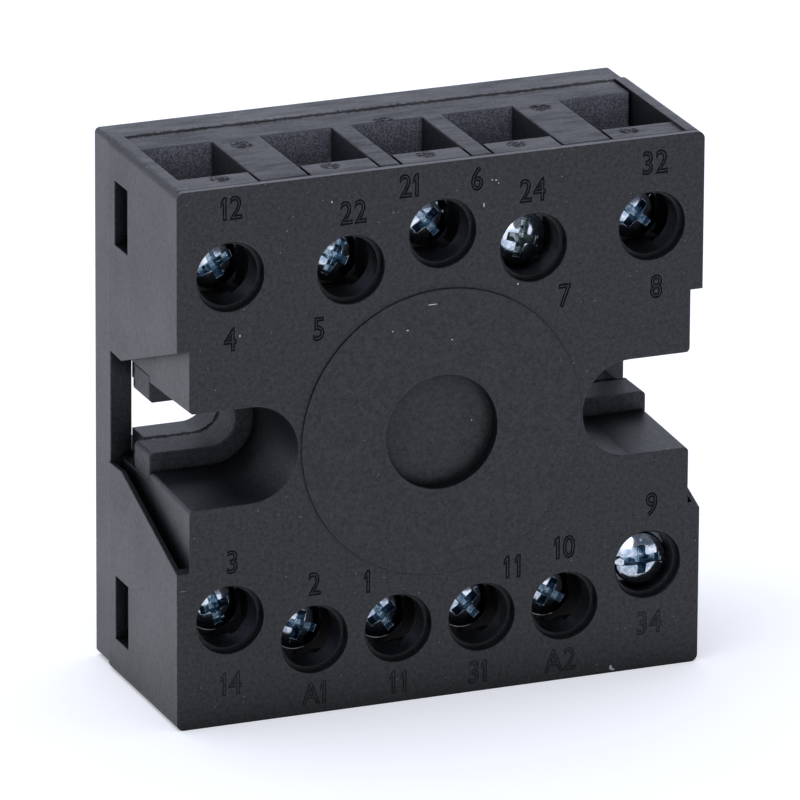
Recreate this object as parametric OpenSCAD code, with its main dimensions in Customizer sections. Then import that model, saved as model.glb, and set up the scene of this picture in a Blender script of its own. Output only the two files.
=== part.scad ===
// Back-wired relay socket with eleven screw terminals, standing on its lower edge.
// X runs across the wiring face, Y runs from the wiring face to the relay side, Z is up.
// The origin is the middle of the outline at the lower edge. Sizes are in millimetres.

/* [Outline] */
// Width of the wiring face
face_w = 45; // [44.5:0.5:48]
// Height of the wiring face
face_h = 45; // [44.5:0.5:48]
// Depth from the wiring face to the relay face
body_d = 18.85; // [18.5:0.05:20]
// Diameter of the raised disc on the wiring face
disc_d = 23.9; // [20:0.1:24.6]
// Height of the raised disc
disc_raise = 0.15; // [0.1:0.05:0.4]
// Diameter of the round recess in the middle of the disc
dish_d = 9.6; // [6:0.1:14]
// Depth of the round recess below the disc
dish_depth = 1.1; // [0.3:0.1:1.5]
// Radius of the housing's corners
corner_r = 0.6; // [0.3:0.1:1]

/* [Housing] */
// Thickness of the side walls
side_wall = 1.3; // [1.2:0.05:1.5]
// Thickness of the front wall at the wire entries
front_wall = 0.7; // [0.6:0.1:1]
// Depth of the screw guides behind the front wall
guide_depth = 3.05; // [2.8:0.05:3.3]
// Width of a screw guide
guide_w = 5.7; // [5.6:0.05:5.8]
// Inset of the front wall's thick middle from the cheeks' ends
middle_in = 0.4; // [0.3:0.1:1.1]
// Thickness of the cheeks inside the side walls
cheek_t = 1.25; // [1:0.05:1.5]
// Diameter of the screwdriver holes at the face
hole_d = 5.8; // [5.4:0.1:5.9]
// Diameter of the screwdriver holes in the guides
guide_bore_d = 5.1; // [4.9:0.1:5.3]

/* [Side cut-outs] */
// Height of the side cut-out at the wiring face
notch_front_h = 18.6; // [17:0.1:18.8]
// Height of the side cut-out at its waist
notch_waist_h = 9.4; // [9.1:0.1:11]
// Height of the side cut-out at the relay plate
notch_back_h = 9.6; // [9.2:0.1:13]
// Distance from the relay plate to the waist
notch_waist_in = 3; // [2:0.1:4]
// Depth of the side cut-out in from the side face
notch_in = 1.05; // [0.9:0.05:1.15]
// Thickness of the skin outside the clip groove
skin_t = 0.4; // [0.3:0.05:0.5]
// Height of the clip groove behind the skin
groove_h = 1.2; // [0.5:0.1:1.2]
// Height of the snap windows
window_h = 5.4; // [4.6:0.1:6]
// Depth of the snap windows along the side
window_d = 2.9; // [2.4:0.1:3.2]
// Distance from the relay plate to the snap windows
window_in = 1.6; // [1.4:0.1:2]
// Distance from the upper or lower edge to a window's middle
window_edge = 5.8; // [5.6:0.05:5.8]

/* [Mounting slots] */
// Height of the screw head pockets
pocket_h = 8.1; // [7:0.1:8.4]
// Depth of the screw head pockets
pocket_d = 8.85; // [8:0.05:9.5]
// Narrowing of a screw head pocket on each side, from its mouth to its bottom
pocket_draft = 0.35; // [0.1:0.05:0.5]
// Width of a mounting slot across its length
slot_h = 4.3; // [3.4:0.1:5]
// Distance of the slot's round end centre in from the side face
slot_in = 6.25; // [5.7:0.05:6.9]
// Radius of the corners where the pockets and slots open at the side
mouth_r = 0.4; // [0.2:0.05:0.5]
// Wall round the screw head pockets
pocket_wall = 1.1; // [0.8:0.1:1.2]
// Height of the ears round the mounting slots
ear_h = 8.8; // [7:0.1:8.9]
// Width of the bar that closes a mounting slot at the side
bar_w = 1.8; // [1.2:0.1:2.2]

/* [Relay plate] */
// Thickness of the relay plate's flange
flange_t = 3.4; // [3:0.1:3.8]
// Height of the relay plate's inner step
step_t = 2.9; // [2.6:0.1:3.2]
// Inset of the flange from the housing's outline
flange_inset = 0.2; // [0.1:0.05:0.4]
// Radius of the flange's corners
flange_r = 0.4; // [0.3:0.1:1.2]
// Diameter of the circle of relay pins
pin_circle_d = 19.05; // [18.4:0.05:19.6]
// Diameter of the relay pin holes
pin_hole_d = 2.8; // [2.6:0.1:3]
// Thickness of the relay plate over the pin sockets
pin_cover = 1.4; // [1:0.1:1.8]
// Width of the lead-in at the mouth of a pin hole
pin_lead = 0.3; // [0.1:0.05:0.5]
// Diameter of the key bore
key_d = 8; // [7:0.1:9]
// Depth of the key bore from the relay face
key_depth = 12.4; // [10:0.1:13]
// Radial room round the key in the carrier
key_room = 0.4; // [0.2:0.05:0.6]
// Width of the keyway
keyway_w = 1.8; // [1.4:0.1:2.2]
// Depth of the keyway beyond the key bore
keyway_out = 1.2; // [0.8:0.1:1.6]
// Thickness of a snap arm
arm_t = 0.75; // [0.6:0.05:0.8]
// Height of a snap arm
arm_h = 3.8; // [3.2:0.1:3.8]
// Length of a snap arm beyond the flange
arm_len = 2.95; // [2.85:0.05:3.05]
// Reach of the snap nose into the window
nose_out = 0.45; // [0.3:0.05:0.6]

/* [Terminal carrier] */
// Width of a wire pocket
wire_w = 6.2; // [6:0.05:6.25]
// Depth of a wire pocket behind the screw guides
wire_d = 8.3; // [8.1:0.05:8.45]
// Distance from a screw to its wire pocket's floor
floor_drop = 3; // [2.9:0.05:3.05]
// Recess of the carrier below the housing's upper and lower edges
carrier_in = 0.2; // [0.1:0.05:0.4]

/* [Terminal places] */
// Distance of the outer terminals from the side face
outer_in = 4.5; // [4.45:0.05:4.6]
// Distance of the upper inner terminals from the middle
upper_inner_x = 7.8; // [7.5:0.05:8.4]
// Spacing of the four lower inner terminals
lower_pitch = 7.2; // [6.9:0.05:7.3]
// Distance of the upper outer screws from the upper edge
upper_outer_in = 7.4; // [7:0.1:7.8]
// Distance of the upper inner screws from the upper edge
upper_inner_in = 8; // [7.4:0.1:8.4]
// Distance of the upper middle screw from the upper edge
upper_middle_in = 5.9; // [5.9:0.1:6.6]
// Distance of the lower outer screws from the lower edge
lower_outer_in = 8.9; // [8.3:0.1:8.9]
// Distance of the lower inner screws from the lower edge
lower_inner_in = 6.3; // [6.1:0.1:7]

/* [Screws and contacts] */
// Depth of a tightened screw's head below the wiring face
head_sink = 3.5; // [3.2:0.1:3.9]
// Travel of a screw from tight to fully open
screw_travel = 2.4; // [2.4:0.1:2.8]
// Diameter of a screw head
head_d = 4.4; // [4.2:0.1:4.5]
// Height of a screw head
head_h = 1.6; // [1.4:0.1:1.8]
// Radius of the dome on a screw head
dome_r = 5.5; // [4:0.5:9]
// Diameter of a screw's shank
shank_d = 2.45; // [2.3:0.05:2.6]
// Length of a screw's shank
shank_len = 6; // [5.4:0.1:6.4]
// Width of the slot across a screw head
drive_slot_w = 0.75; // [0.6:0.05:0.9]
// Depth of the slot across a screw head
drive_slot_depth = 0.55; // [0.4:0.05:0.7]
// Length of the arms of the cross recess
cross_len = 2.7; // [2.3:0.1:3]
// Depth of the cross recess
cross_depth = 1.1; // [0.8:0.1:1.2]
// Radial gap between a shank and its threaded hole
thread_gap = 0.05; // [0.03:0.01:0.08]
// Thickness of the sheet of a contact
contact_t = 0.8; // [0.7:0.05:0.8]
// Width of a contact at its screw
contact_w = 3.8; // [3.5:0.1:3.8]
// Length of a contact beyond its screw
contact_len = 2.1; // [2:0.05:2.15]
// Length of the drawn neck that carries the thread
neck_len = 1.2; // [0.8:0.1:1.4]
// Wall of the drawn neck
neck_wall = 0.65; // [0.5:0.05:0.65]
// Width of the strip that runs to the pin socket
strip_w = 3; // [2.4:0.1:3.2]
// Diameter of the round pad that carries a pin socket
pad_d = 4.1; // [3.8:0.1:4.3]
// Outer diameter of a pin socket
socket_d = 3.5; // [3.3:0.1:3.7]
// Inner diameter of a pin socket
socket_bore_d = 2.4; // [2.3:0.05:2.5]
// Width of the slit along a pin socket
socket_slit = 0.5; // [0.3:0.1:0.8]
// Thickness of a clamp plate
clamp_t = 0.7; // [0.6:0.05:0.8]
// Height of a clamp plate along the wire
clamp_h = 4.3; // [4:0.1:4.3]
// Thickness of a clamp plate's side lips
lip_t = 0.45; // [0.35:0.05:0.5]
// Depth of a clamp plate's side lips over the contact
lip_depth = 0.6; // [0.4:0.1:0.7]

/* [Hidden] */
$fn = 48;

// Gap between mouldings that fit into one another
fit = 0.05;
// Gap between pieces that pass one another
pass = 0.15;
// Overshoot of a cut past the face that it opens
cut = 1;

middle_z = face_h / 2;
cheek_h = face_h - 2 * (lower_outer_in + floor_drop);
middle_h = cheek_h - 2 * middle_in;
y_back = (body_d + disc_raise) / 2;
y_face = y_back - body_d;
y_wall = y_face + front_wall;
y_guide = y_wall + guide_depth;
y_ear = y_face + pocket_d;
y_wire = y_guide + wire_d;
y_flange = y_back - flange_t;
y_step = y_flange - step_t;
y_waist = y_flange - notch_waist_in;
x_side = face_w / 2;
x_inner = x_side - side_wall;
x_notch = x_side - notch_in;
x_cheek = x_notch - cheek_t;
x_carrier = x_inner - pass;
x_outer = x_side - outer_in;
x_slot = x_side - slot_in;
x_bar = x_side - flange_inset - bar_w;

// Screw heads, clamp plates and contacts, counted in from the wiring face
y_seat = y_face + head_sink + head_h;
y_contact = y_seat + clamp_t;
y_open = y_seat - screw_travel - fit;
y_strip = y_step - fit - contact_t;
clamp_w = contact_w + 2 * (pass / 2 + lip_t);
neck_d = shank_d + 2 * (thread_gap + neck_wall);

// Each terminal: name, place across, distance from its edge, edge (1 upper, -1 lower),
// relay pin, how far its screw is backed out and the turn of its recess
TERMINALS = [
    ["12", -x_outer, upper_outer_in, 1, 4, 0, 64],
    ["22", -upper_inner_x, upper_inner_in, 1, 5, 0, 28],
    ["21", 0, upper_middle_in, 1, 6, 0, 52],
    ["24", upper_inner_x, upper_inner_in, 1, 7, 1.1, 15],
    ["32", x_outer, upper_outer_in, 1, 8, 0.2, 40],
    ["14", -x_outer, lower_outer_in, -1, 3, 0.1, 75],
    ["a1", -1.5 * lower_pitch, lower_inner_in, -1, 2, 0, 20],
    ["11", -0.5 * lower_pitch, lower_inner_in, -1, 1, 0, 58],
    ["31", 0.5 * lower_pitch, lower_inner_in, -1, 11, 0.1, 50],
    ["a2", 1.5 * lower_pitch, lower_inner_in, -1, 10, 0, 33],
    ["34", x_outer, lower_outer_in, -1, 9, 2.4, 88]
];
PINS = len(TERMINALS);

function place_x(t) = t[1];
function edge(t) = t[3];
function place_z(t) = edge(t) > 0 ? face_h - t[2] : t[2];
function pin_turn(t) = (t[4] - 0.5) * 360 / PINS;
function pin_x(t) = -sin(pin_turn(t)) * pin_circle_d / 2;
function pin_z(t) = middle_z - cos(pin_turn(t)) * pin_circle_d / 2;
// Height of a wire pocket's floor, and of the middle of the contact's foot on it
function floor_z(t) = place_z(t) - edge(t) * floor_drop;
function foot_z(t) = floor_z(t) + edge(t) * contact_t / 2;

// Height of the rails behind the wire pockets, clear of every contact's foot
rail_h = min([for (t = TERMINALS) t[2]]) + floor_drop - contact_t - pass;

// Box between two corners
module block(x0, x1, y0, y1, z0, z1) {
    translate([min(x0, x1), min(y0, y1), min(z0, z1)])
        cube([abs(x1 - x0), abs(y1 - y0), abs(z1 - z0)]);
}

// Round bar along Y
module bar_y(d, x, z, y0, y1) {
    translate([x, y0, z]) rotate([-90, 0, 0]) cylinder(d = d, h = y1 - y0);
}

// The same piece on both sides
module both_sides() {
    children();
    mirror([1, 0, 0]) children();
}

// Slab across the face with corners of radius r
module slab(w, h, r, y0, y1) {
    translate([0, y1, middle_z]) rotate([90, 0, 0]) linear_extrude(y1 - y0) {
        square([w - 2 * r, h], center = true);
        square([w, h - 2 * r], center = true);
        for (x = [-1, 1], z = [-1, 1])
            translate([x * (w / 2 - r), z * (h / 2 - r)]) circle(r);
    }
}

// Slot of height h with a round end, open towards the side
module side_slot(h, x_out, y0, y1) {
    bar_y(h, x_slot, middle_z, y0, y1);
    block(x_slot, x_out, y0, y1, middle_z - h / 2, middle_z + h / 2);
}

// Waste of one rounded corner at the mouth of a slot, above a slot that ends at height 0. The
// round dips a little into the slot, so that it crosses the slot's wall.
module mouth_corner(y0, y1) {
    rise = mouth_r - fit / 2;
    difference() {
        block(x_notch - mouth_r, x_side, y0, y1, -fit, rise);
        bar_y(2 * mouth_r, x_notch - mouth_r, rise, y0 - cut, y1 + cut);
    }
}

// Screw head pocket, which narrows from the wiring face to the ear
module head_pocket() {
    lean = atan2(pocket_draft, pocket_d);
    depth = pocket_d + cut;
    slope = pocket_draft / pocket_d;
    wide = pocket_h / 2 + slope * cut;
    narrow = pocket_h / 2 - slope * depth;
    translate([x_slot, y_face, middle_z]) {
        translate([0, -cut, 0]) rotate([-90, 0, 0]) cylinder(r1 = wide, r2 = narrow, h = depth + cut);
        rotate([90, 0, 90]) linear_extrude(x_side + cut - x_slot)
            polygon([[-cut, -wide], [depth, -narrow], [depth, narrow], [-cut, wide]]);
    }
    for (s = [0, 1]) translate([0, y_face, middle_z]) mirror([0, 0, s])
        translate([0, 0, pocket_h / 2]) rotate([-lean, 0, 0]) mouth_corner(-cut, depth);
}

// Waisted outline of the side cut-out, grown by g, between two distances from the middle
module waisted(x0, x1, y0, g) {
    front = notch_front_h / 2 + g;
    waist = notch_waist_h / 2 + g;
    back = notch_back_h / 2 + g;
    slope = (front - waist) / (y_waist - y_face);
    start = waist + slope * (y_waist - y0);
    translate([x0, 0, middle_z]) rotate([90, 0, 90]) linear_extrude(x1 - x0)
        polygon([
            [y0, -start], [y_waist, -waist], [y_flange, -back], [y_flange + cut, -back],
            [y_flange + cut, back], [y_flange, back], [y_waist, waist], [y0, start]
        ]);
}

// Screw guides stand between the middle of the front wall and the nearer edge
module guide(t) {
    x0 = place_x(t) - guide_w / 2;
    x1 = place_x(t) + guide_w / 2;
    left = place_x(t) <= -x_outer ? -x_inner : x0;
    right = place_x(t) >= x_outer ? x_inner : x1;
    end_z = edge(t) > 0 ? face_h - carrier_in : carrier_in;
    block(left, right, y_wall - fit, y_guide, middle_z, end_z);
}

// Middle of the front wall, the cheeks and the walls round the screw head pockets
module housing_inside() {
    block(-x_inner - fit, x_inner + fit, y_wall - fit, y_guide,
        middle_z - middle_h / 2, middle_z + middle_h / 2);
    both_sides() {
        block(x_cheek, x_inner + fit, y_wall - fit, y_flange,
            middle_z - cheek_h / 2, middle_z + cheek_h / 2);
        side_slot(pocket_h + 2 * pocket_wall, x_inner + fit, y_wall - fit, y_ear);
    }
}

module housing() {
    color("#3a3b40") difference() {
        union() {
            slab(face_w, face_h, corner_r, y_face, y_wall);
            bar_y(disc_d, 0, middle_z, y_face - disc_raise, y_wall);
            intersection() {
                slab(face_w, face_h, corner_r, y_face, y_flange);
                both_sides() block(x_inner, face_w, y_face - cut, y_flange + cut, -cut, face_h + cut);
            }
            housing_inside();
            for (t = TERMINALS) guide(t);
        }
        bar_y(dish_d, 0, middle_z, y_face - disc_raise - cut, y_face - disc_raise + dish_depth);
        for (t = TERMINALS) {
            bar_y(hole_d, place_x(t), place_z(t), y_face - cut, y_wall);
            bar_y(guide_bore_d, place_x(t), place_z(t), y_face, y_guide + cut);
            // Room for the clamp plate when its screw is open
            block(place_x(t) - guide_w / 2 - fit, place_x(t) + guide_w / 2 + fit,
                y_open, y_guide + cut,
                place_z(t) - clamp_h / 2 - pass, place_z(t) + clamp_h / 2 + pass);
        }
        both_sides() {
            head_pocket();
            waisted(x_notch, x_side + cut, y_face - cut, 0);
            waisted(x_notch, x_side - skin_t, y_wall, groove_h);
            block(x_cheek - cut, x_side + cut, y_ear, y_flange + cut,
                middle_z - ear_h / 2 - fit, middle_z + ear_h / 2 + fit);
            for (z = [window_edge, face_h - window_edge])
                block(x_inner - cut, x_side + cut, y_flange - window_in - window_d,
                    y_flange - window_in, z - window_h / 2, z + window_h / 2);
        }
    }
}

// Wire pocket of one terminal, closed in front by the screw guide. The outer pockets reach
// the housing's side walls.
module wire_pocket(t) {
    left = place_x(t) <= -x_outer ? -x_side : place_x(t) - wire_w / 2;
    right = place_x(t) >= x_outer ? x_side : place_x(t) + wire_w / 2;
    open_z = edge(t) > 0 ? face_h + cut : -cut;
    block(left, right, y_wall, y_wire, floor_z(t), open_z);
    // Room for the screw guide
    block(left, right, y_wall - cut, y_guide + fit, middle_z, open_z);
}

// Strip from the foot of a contact to its pin socket. Its channel is grown by g, and runs
// past the strip's back.
module strip(t, g, past) {
    run_x = pin_x(t) - place_x(t);
    run_z = pin_z(t) - foot_z(t);
    run = sqrt(run_x * run_x + run_z * run_z);
    outer_z = foot_z(t) + edge(t) * g;
    intersection() {
        translate([place_x(t), y_strip - g, foot_z(t)])
            rotate([0, -atan2(run_z, run_x), 0])
                block(-strip_w / 2, run, 0, contact_t + g + past,
                    -strip_w / 2 - g, strip_w / 2 + g);
        block(-x_side, x_side, 0, y_back, outer_z, outer_z - edge(t) * face_h);
    }
    bar_y(pad_d + 2 * g, pin_x(t), pin_z(t), y_strip - g, y_strip + contact_t + past);
}

// Foot of a contact, which lies on the pocket's floor and passes through its back wall
module foot(t, g, y0, past) {
    half = contact_t / 2 + g;
    block(place_x(t) - contact_w / 2 - g, place_x(t) + contact_w / 2 + g, y0,
        y_strip + contact_t + past, foot_z(t) - half, foot_z(t) + half);
}

module carrier() {
    color("#2b2c30") difference() {
        union() {
            // Core between the two rows of terminals
            block(-x_cheek + fit, x_cheek - fit, y_guide + fit, y_step - fit,
                middle_z - cheek_h / 2, middle_z + cheek_h / 2);
            // Combs that part the wire pockets, with a rail along the back
            for (u = [0, 1]) mirror_height(u) {
                block(-x_carrier, x_carrier, y_wall + pass, y_step - fit,
                    middle_z + cheek_h / 2 + fit, face_h - carrier_in);
                block(-x_cheek + fit, x_cheek - fit, y_guide + fit, y_step - fit,
                    middle_z, middle_z + cheek_h / 2 + cut / 2);
                block(-x_carrier, x_carrier, y_step - cut, y_flange - fit,
                    face_h - rail_h, face_h - carrier_in);
            }
            // Ears round the mounting slots
            both_sides() block(x_slot, x_notch, y_ear + fit, y_step - fit,
                middle_z - ear_h / 2, middle_z + ear_h / 2);
        }
        both_sides() {
            side_slot(pocket_h + 2 * (pocket_wall + fit), x_side, y_wall, y_ear + fit);
            side_slot(slot_h, x_side + cut, y_ear - cut, y_step + cut);
            for (s = [0, 1]) translate([0, 0, middle_z]) mirror([0, 0, s])
                translate([0, 0, slot_h / 2]) mouth_corner(y_ear - cut, y_step + cut);
            for (z = [window_edge, face_h - window_edge])
                block(x_inner - arm_t - 2 * pass, x_side, y_flange - arm_len - pass,
                    y_flange + cut, z - arm_h / 2 - pass, z + arm_h / 2 + pass);
        }
        for (t = TERMINALS) {
            wire_pocket(t);
            strip(t, fit, cut);
            foot(t, fit, y_wire - cut, cut);
        }
        bar_y(key_d + 2 * key_room, 0, middle_z, y_back - key_depth, y_back);
    }
}

// Lower half for u = 0, upper half for u = 1
module mirror_height(u) {
    if (u == 1) children();
    else translate([0, 0, face_h]) mirror([0, 0, 1]) children();
}

// Snap arm with a nose that catches behind the window's rear edge
module snap_arm(z) {
    x0 = x_inner - pass / 2 - arm_t;
    x1 = x_inner - pass / 2;
    catch_y = y_flange - window_in - fit;
    tip_y = y_flange - arm_len;
    translate([0, 0, z - arm_h / 2]) linear_extrude(arm_h)
        polygon([
            [x0, y_flange + fit], [x0, tip_y], [x1 - nose_out / 2, tip_y],
            [x1 + nose_out, catch_y - window_in / 2], [x1 + nose_out, catch_y],
            [x1, catch_y], [x1, y_flange + fit]
        ]);
}

// Cone that opens a hole of diameter d at the relay face
module lead_in(d, w, x, z) {
    translate([x, y_back - w, z]) rotate([-90, 0, 0])
        cylinder(d1 = d, d2 = d + 4 * w, h = 2 * w);
}

module relay_plate() {
    color("#303136") difference() {
        union() {
            slab(face_w - 2 * flange_inset, face_h - 2 * flange_inset, flange_r, y_flange, y_back);
            block(fit - x_cheek, x_cheek - fit, y_step, y_flange + fit,
                rail_h + fit, face_h - rail_h - fit);
            both_sides() {
                block(x_slot, x_bar - fit, y_step, y_flange + fit,
                    middle_z - ear_h / 2, middle_z + ear_h / 2);
                for (z = [window_edge, face_h - window_edge]) snap_arm(z);
            }
        }
        both_sides() {
            side_slot(slot_h, x_side + cut, y_step - cut, y_flange);
            // Pocket in the flange, closed at the side by the bar
            intersection() {
                side_slot(pocket_h, x_side, y_flange, y_back + cut);
                block(0, x_bar, y_flange, y_back + cut, 0, face_h);
            }
        }
        for (t = TERMINALS) {
            bar_y(pin_hole_d, pin_x(t), pin_z(t), y_step, y_back + cut);
            bar_y(socket_d + 2 * pass, pin_x(t), pin_z(t), y_step - cut, y_back - pin_cover);
            lead_in(pin_hole_d, pin_lead, pin_x(t), pin_z(t));
        }
        bar_y(key_d, 0, middle_z, y_step - cut, y_back + cut);
        lead_in(key_d, pin_lead, 0, middle_z);
        block(-keyway_w / 2, keyway_w / 2, y_step - cut, y_back + cut,
            middle_z, middle_z - key_d / 2 - keyway_out);
    }
}

// Terminal plate with a threaded neck, foot, strip and rolled pin socket, bent from sheet
module contact(t) {
    x = place_x(t);
    z = place_z(t);
    color("#c8a860") difference() {
        union() {
            block(x - contact_w / 2, x + contact_w / 2, y_contact, y_contact + contact_t,
                floor_z(t), z + edge(t) * contact_len);
            bar_y(neck_d, x, z, y_contact, y_contact + contact_t + neck_len);
            foot(t, 0, y_contact, 0);
            strip(t, 0, 0);
            bar_y(socket_d, pin_x(t), pin_z(t), y_strip + contact_t / 2, y_back - pin_cover - pass);
        }
        bar_y(shank_d + 2 * thread_gap, x, z, y_contact - cut, y_contact + contact_t + neck_len + cut);
        bar_y(socket_bore_d, pin_x(t), pin_z(t), y_strip + contact_t / 2, y_back);
        translate([pin_x(t), 0, pin_z(t)]) rotate([0, pin_turn(t), 0])
            block(-socket_slit / 2, socket_slit / 2, y_strip + 2 * contact_t, y_back, 0, socket_d);
    }
}

// Clamp plate, held under the screw head and kept from turning by its lips
module clamp(t) {
    out = t[5];
    x = place_x(t);
    z = place_z(t);
    color("#c9ccd1") translate([x, y_seat - out, z]) difference() {
        union() {
            block(-clamp_w / 2, clamp_w / 2, 0, clamp_t, -clamp_h / 2, clamp_h / 2);
            both_sides() block(clamp_w / 2 - lip_t, clamp_w / 2, 0, clamp_t + lip_depth,
                -clamp_h / 2, clamp_h / 2);
        }
        bar_y(shank_d + 2 * thread_gap, 0, 0, -cut, clamp_t + cut);
    }
}

// Domed screw with a slot and a cross recess in its head
module screw(t) {
    out = t[5];
    turn = t[6];
    color("#dfe3e8") translate([place_x(t), y_seat - head_h - out, place_z(t)])
        rotate([-90, 0, 0]) rotate([0, 0, turn]) difference() {
            union() {
                intersection() {
                    cylinder(d = head_d, h = head_h);
                    translate([0, 0, dome_r]) sphere(dome_r);
                }
                cylinder(d = shank_d, h = head_h + shank_len - shank_d / 4);
                translate([0, 0, head_h + shank_len - shank_d / 4])
                    cylinder(d1 = shank_d, d2 = shank_d / 2, h = shank_d / 4);
            }
            translate([-head_d, -drive_slot_w / 2, -cut])
                cube([2 * head_d, drive_slot_w, cut + drive_slot_depth]);
            for (a = [0, 90]) rotate([0, 0, a])
                translate([-cross_len / 2, -drive_slot_w / 2, -cut])
                    cube([cross_len, drive_slot_w, cut + cross_depth]);
        }
}

housing();
carrier();
relay_plate();
for (t = TERMINALS) {
    contact(t);
    clamp(t);
    screw(t);
}
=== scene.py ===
import math
import random

import bmesh
import bpy
from mathutils import Matrix, Vector, noise


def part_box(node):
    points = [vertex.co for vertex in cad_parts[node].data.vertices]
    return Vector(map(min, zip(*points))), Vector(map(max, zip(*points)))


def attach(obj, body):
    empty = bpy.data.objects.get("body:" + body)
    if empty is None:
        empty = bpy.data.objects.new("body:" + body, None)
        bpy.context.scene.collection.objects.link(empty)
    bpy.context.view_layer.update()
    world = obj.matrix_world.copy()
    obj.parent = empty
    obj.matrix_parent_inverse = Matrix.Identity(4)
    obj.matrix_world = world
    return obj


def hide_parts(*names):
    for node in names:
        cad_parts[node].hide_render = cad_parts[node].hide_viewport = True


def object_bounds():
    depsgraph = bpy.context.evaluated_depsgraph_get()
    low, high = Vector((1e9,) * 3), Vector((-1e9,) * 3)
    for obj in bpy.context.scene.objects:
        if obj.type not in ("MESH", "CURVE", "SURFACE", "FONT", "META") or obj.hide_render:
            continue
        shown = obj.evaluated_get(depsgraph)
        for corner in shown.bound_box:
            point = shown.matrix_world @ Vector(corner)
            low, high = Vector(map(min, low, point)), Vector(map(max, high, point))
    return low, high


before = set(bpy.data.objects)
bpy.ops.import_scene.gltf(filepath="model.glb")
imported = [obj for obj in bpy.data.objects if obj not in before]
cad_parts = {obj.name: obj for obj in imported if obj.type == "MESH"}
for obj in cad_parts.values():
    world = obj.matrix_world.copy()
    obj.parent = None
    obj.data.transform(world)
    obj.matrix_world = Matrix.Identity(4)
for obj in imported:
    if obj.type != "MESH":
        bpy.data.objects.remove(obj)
cad_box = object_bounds()

# Camera and studio
# The socket stands on its lower edge on a white table before a white backdrop, seen from the
# left and a little from above through a long lens. A large soft light hangs overhead, small
# ones stand at the left and in front, and the room before the table is dim.
MM = 0.001
scene = bpy.context.scene
lowest, highest = cad_box
middle = Vector((0, 0, (lowest.z + highest.z) / 2))

VIEW_AZIMUTH = math.radians(-22.031)
VIEW_ELEVATION = math.radians(19.200)
VIEW_ROLL = math.radians(0.337)
VIEW_DISTANCE = 923.9 * MM
SENSOR_WIDTH = 36
LENS_OVER_IMAGE = 14.3872
AIM_RIGHT = 0.209 * MM
AIM_UP = -0.383 * MM

back = Vector((
    math.sin(VIEW_AZIMUTH) * math.cos(VIEW_ELEVATION),
    -math.cos(VIEW_AZIMUTH) * math.cos(VIEW_ELEVATION),
    math.sin(VIEW_ELEVATION)))
level_right = Vector((0, 0, 1)).cross(back).normalized()
level_up = back.cross(level_right)
right = level_right * math.cos(VIEW_ROLL) + level_up * math.sin(VIEW_ROLL)
up = level_up * math.cos(VIEW_ROLL) - level_right * math.sin(VIEW_ROLL)
camera = bpy.data.objects.new("camera", bpy.data.cameras.new("camera"))
scene.collection.objects.link(camera)
camera.matrix_world = Matrix.Translation(
    middle + back * VIEW_DISTANCE + right * AIM_RIGHT + up * AIM_UP
) @ Matrix((right, up, back)).transposed().to_4x4()
camera.data.sensor_width = SENSOR_WIDTH
camera.data.lens = SENSOR_WIDTH * LENS_OVER_IMAGE
camera.data.clip_start = 0.01
camera.data.clip_end = 20
scene.camera = camera


def linear(code):
    """sRGB hex colour as linear values, opaque."""
    values = [int(code[i:i + 2], 16) / 255 for i in (1, 3, 5)]
    return tuple(v / 12.92 if v <= 0.04045 else ((v + 0.055) / 1.055) ** 2.4
                 for v in values) + (1,)


def add(tree, kind, inputs=None, **settings):
    """One node with its settings, and its input values or links. A node given as a value is
    linked by its first output in use. A mix takes its factor as input 0, and then two numbers
    as 2 and 3 or two colours as 6 and 7."""
    made = tree.nodes.new(kind)
    for key, value in settings.items():
        setattr(made, key, value)
    for key, value in (inputs or {}).items():
        if isinstance(value, bpy.types.Node):
            value = next(out for out in value.outputs if out.enabled)
        if isinstance(value, bpy.types.NodeSocket):
            tree.links.new(value, made.inputs[key])
        else:
            made.inputs[key].default_value = value
    return made


def empty_material(name):
    """Material with an empty node tree."""
    material = bpy.data.materials.new(name)
    material.use_nodes = True
    material.node_tree.nodes.clear()
    return material


def softbox(name, place, width, height, power):
    """Rectangular lamp of cool daylight that points at the middle of the socket."""
    light = bpy.data.lights.new(name, "AREA")
    light.shape = "RECTANGLE"
    light.size, light.size_y = width, height
    light.energy = power
    light.color = linear("#eef2ff")[:3]
    lamp = bpy.data.objects.new(name, light)
    scene.collection.objects.link(lamp)
    lamp.location = place
    lamp.rotation_euler = (middle - Vector(place)).to_track_quat("-Z", "Y").to_euler()


softbox("overhead_softbox", (-0.12, -0.08, 0.85), width=0.55, height=0.55, power=2.35)
softbox("left_softbox", (-0.62, -0.42, 0.42), width=0.35, height=0.35, power=0.45)
softbox("front_softbox", (-0.05, -0.90, 0.15), width=0.34, height=0.26, power=1.1)

world = bpy.data.worlds.new("studio")
scene.world = world
world.use_nodes = True
sky = world.node_tree
sky.nodes.clear()
ROOM_LEVEL = 0.2
BACKDROP_LEVEL = 1.15
BACKDROP_RISE = 0.35
rays = add(sky, "ShaderNodeLightPath")
seen = add(sky, "ShaderNodeMath", {0: rays.outputs["Is Camera Ray"],
                                   1: rays.outputs["Is Transmission Ray"]}, operation="MAXIMUM")
way = add(sky, "ShaderNodeSeparateXYZ", {0: add(sky, "ShaderNodeTexCoord").outputs["Generated"]})
lean = add(sky, "ShaderNodeMath", {0: way.outputs["Z"], 1: BACKDROP_RISE, 2: way.outputs["Y"]},
           operation="MULTIPLY_ADD")
lit = add(sky, "ShaderNodeMapRange", {"Value": lean, "From Min": -0.5, "From Max": 0.6,
                                      "To Min": ROOM_LEVEL, "To Max": BACKDROP_LEVEL})
level = add(sky, "ShaderNodeMix", {0: seen, 2: lit, 3: 1.0})
cool = add(sky, "ShaderNodeMix", {0: seen, 6: linear("#e3e9fa"), 7: linear("#ffffff")},
           data_type="RGBA")
sheet = add(sky, "ShaderNodeBackground", {"Color": cool, "Strength": level})
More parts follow.
